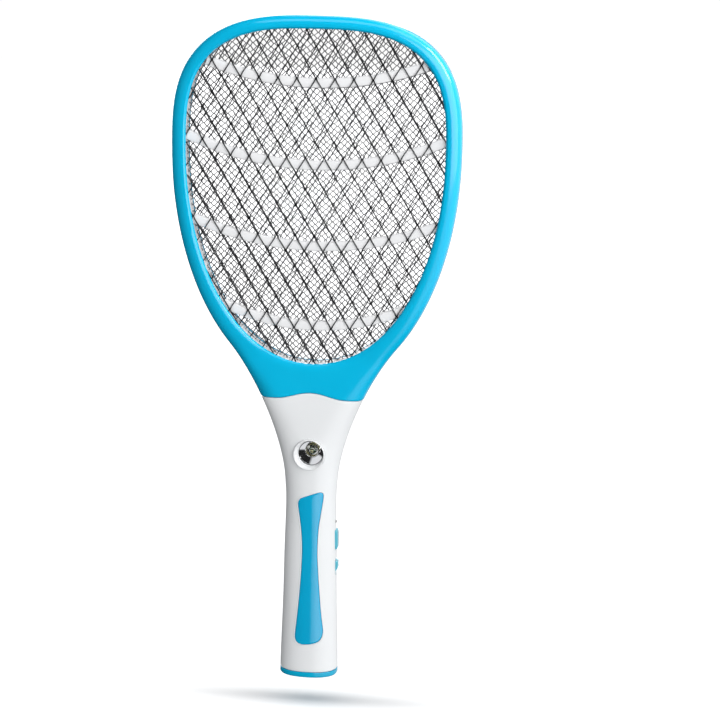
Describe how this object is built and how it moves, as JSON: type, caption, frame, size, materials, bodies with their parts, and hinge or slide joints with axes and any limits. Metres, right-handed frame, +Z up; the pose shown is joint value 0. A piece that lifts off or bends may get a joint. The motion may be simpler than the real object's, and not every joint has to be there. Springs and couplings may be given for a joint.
{
  "type": "electric fly swatter",
  "caption": "Upright racket-shaped electric insect swatter: egg-shaped framed wire grids, waisted torch handle, side buttons and a plug that slides out of the base.",
  "frame": {"origin": "middle of the end cap's flat bottom, which the swatter stands on", "axes": "+Z up the handle to the head, front face with the torch along -Y, side buttons on +X"},
  "size_m": [0.2128, 0.0359, 0.5],
  "materials": {
    "blue_plastic": "glossy injection moulded ABS, sky blue",
    "white_plastic": "glossy injection moulded ABS, white",
    "rib_plastic": "satin white insulating plastic",
    "grid_steel": "zinc plated expanded steel mesh",
    "chrome": "vacuum metallised mirror",
    "screw_steel": "zinc plated steel",
    "contact_metal": "nickel plated brass",
    "torch_led_resin": "clear epoxy over yellow phosphor",
    "indicator_resin": "tinted epoxy, unlit",
    "board_green": "solder mask on laminate",
    "black_plastic": "moulded, fine satin",
    "cell_wrap": "shrink sleeve",
    "lead_red": "PVC insulation",
    "lead_black": "PVC insulation",
    "capacitor_film": "dipped film capacitor coating"
  },
  "bodies": {
    "swatter_body": {"head_front_frame": "blue_plastic", "head_rear_frame": "blue_plastic", "grip_inlay": "blue_plastic", "end_cap": "blue_plastic", "handle_front_shell": "white_plastic", "handle_rear_shell": "white_plastic", "torch_bezel": "white_plastic", "front_spacer": "rib_plastic", "rear_spacer": "rib_plastic", "front_grid": "grid_steel", "centre_grid": "grid_steel", "rear_grid": "grid_steel", "torch_reflector": "chrome", "head_screw_1": "screw_steel", "head_screw_2": "screw_steel", "head_screw_3": "screw_steel", "head_screw_4": "screw_steel", "head_screw_5": "screw_steel", "head_screw_6": "screw_steel", "head_screw_7": "screw_steel", "head_screw_8": "screw_steel", "handle_screw_1": "screw_steel", "handle_screw_2": "screw_steel", "handle_screw_3": "screw_steel", "handle_screw_4": "screw_steel", "neck_screw": "screw_steel", "outer_grid_contact": "contact_metal", "centre_grid_contact": "contact_metal", "plug_contact_left": "contact_metal", "plug_contact_right": "contact_metal", "torch_led": "torch_led_resin", "indicator_led": "indicator_resin", "main_board": "board_green", "torch_led_board": "board_green", "zap_switch_body": "black_plastic", "slide_switch_body": "black_plastic", "step_up_transformer": "black_plastic", "power_transistor": "black_plastic", "battery_cell": "cell_wrap", "outer_grid_lead": "lead_red", "centre_grid_lead": "lead_black", "storage_capacitor": "capacitor_film", "dropper_capacitor": "capacitor_film"},
    "zap_button_body": {"zap_button": "blue_plastic", "zap_switch_plunger": "black_plastic"},
    "slide_switch_body_moving": {"slide_switch_knob": "blue_plastic", "slide_switch_lever": "black_plastic"},
    "plug_body": {"plug_carriage": "black_plastic", "plug_slider_knob": "blue_plastic", "plug_pin_left": "contact_metal", "plug_pin_right": "contact_metal"}
  },
  "joints": [
    {"name": "zap_press", "type": "slide", "parent": "swatter_body", "child": "zap_button_body", "axis": [-1, 0, 0], "range_m": [0, 0.0015], "stiffness_N_per_m": 900, "springref_m": -0.0012},
    {"name": "mode_slide", "type": "slide", "parent": "swatter_body", "child": "slide_switch_body_moving", "axis": [0, 0, 1], "range_m": [-0.002, 0.002]},
    {"name": "plug_extend", "type": "slide", "parent": "swatter_body", "child": "plug_body", "axis": [0, 0, -1], "range_m": [0, 0.0194]}
  ]
}
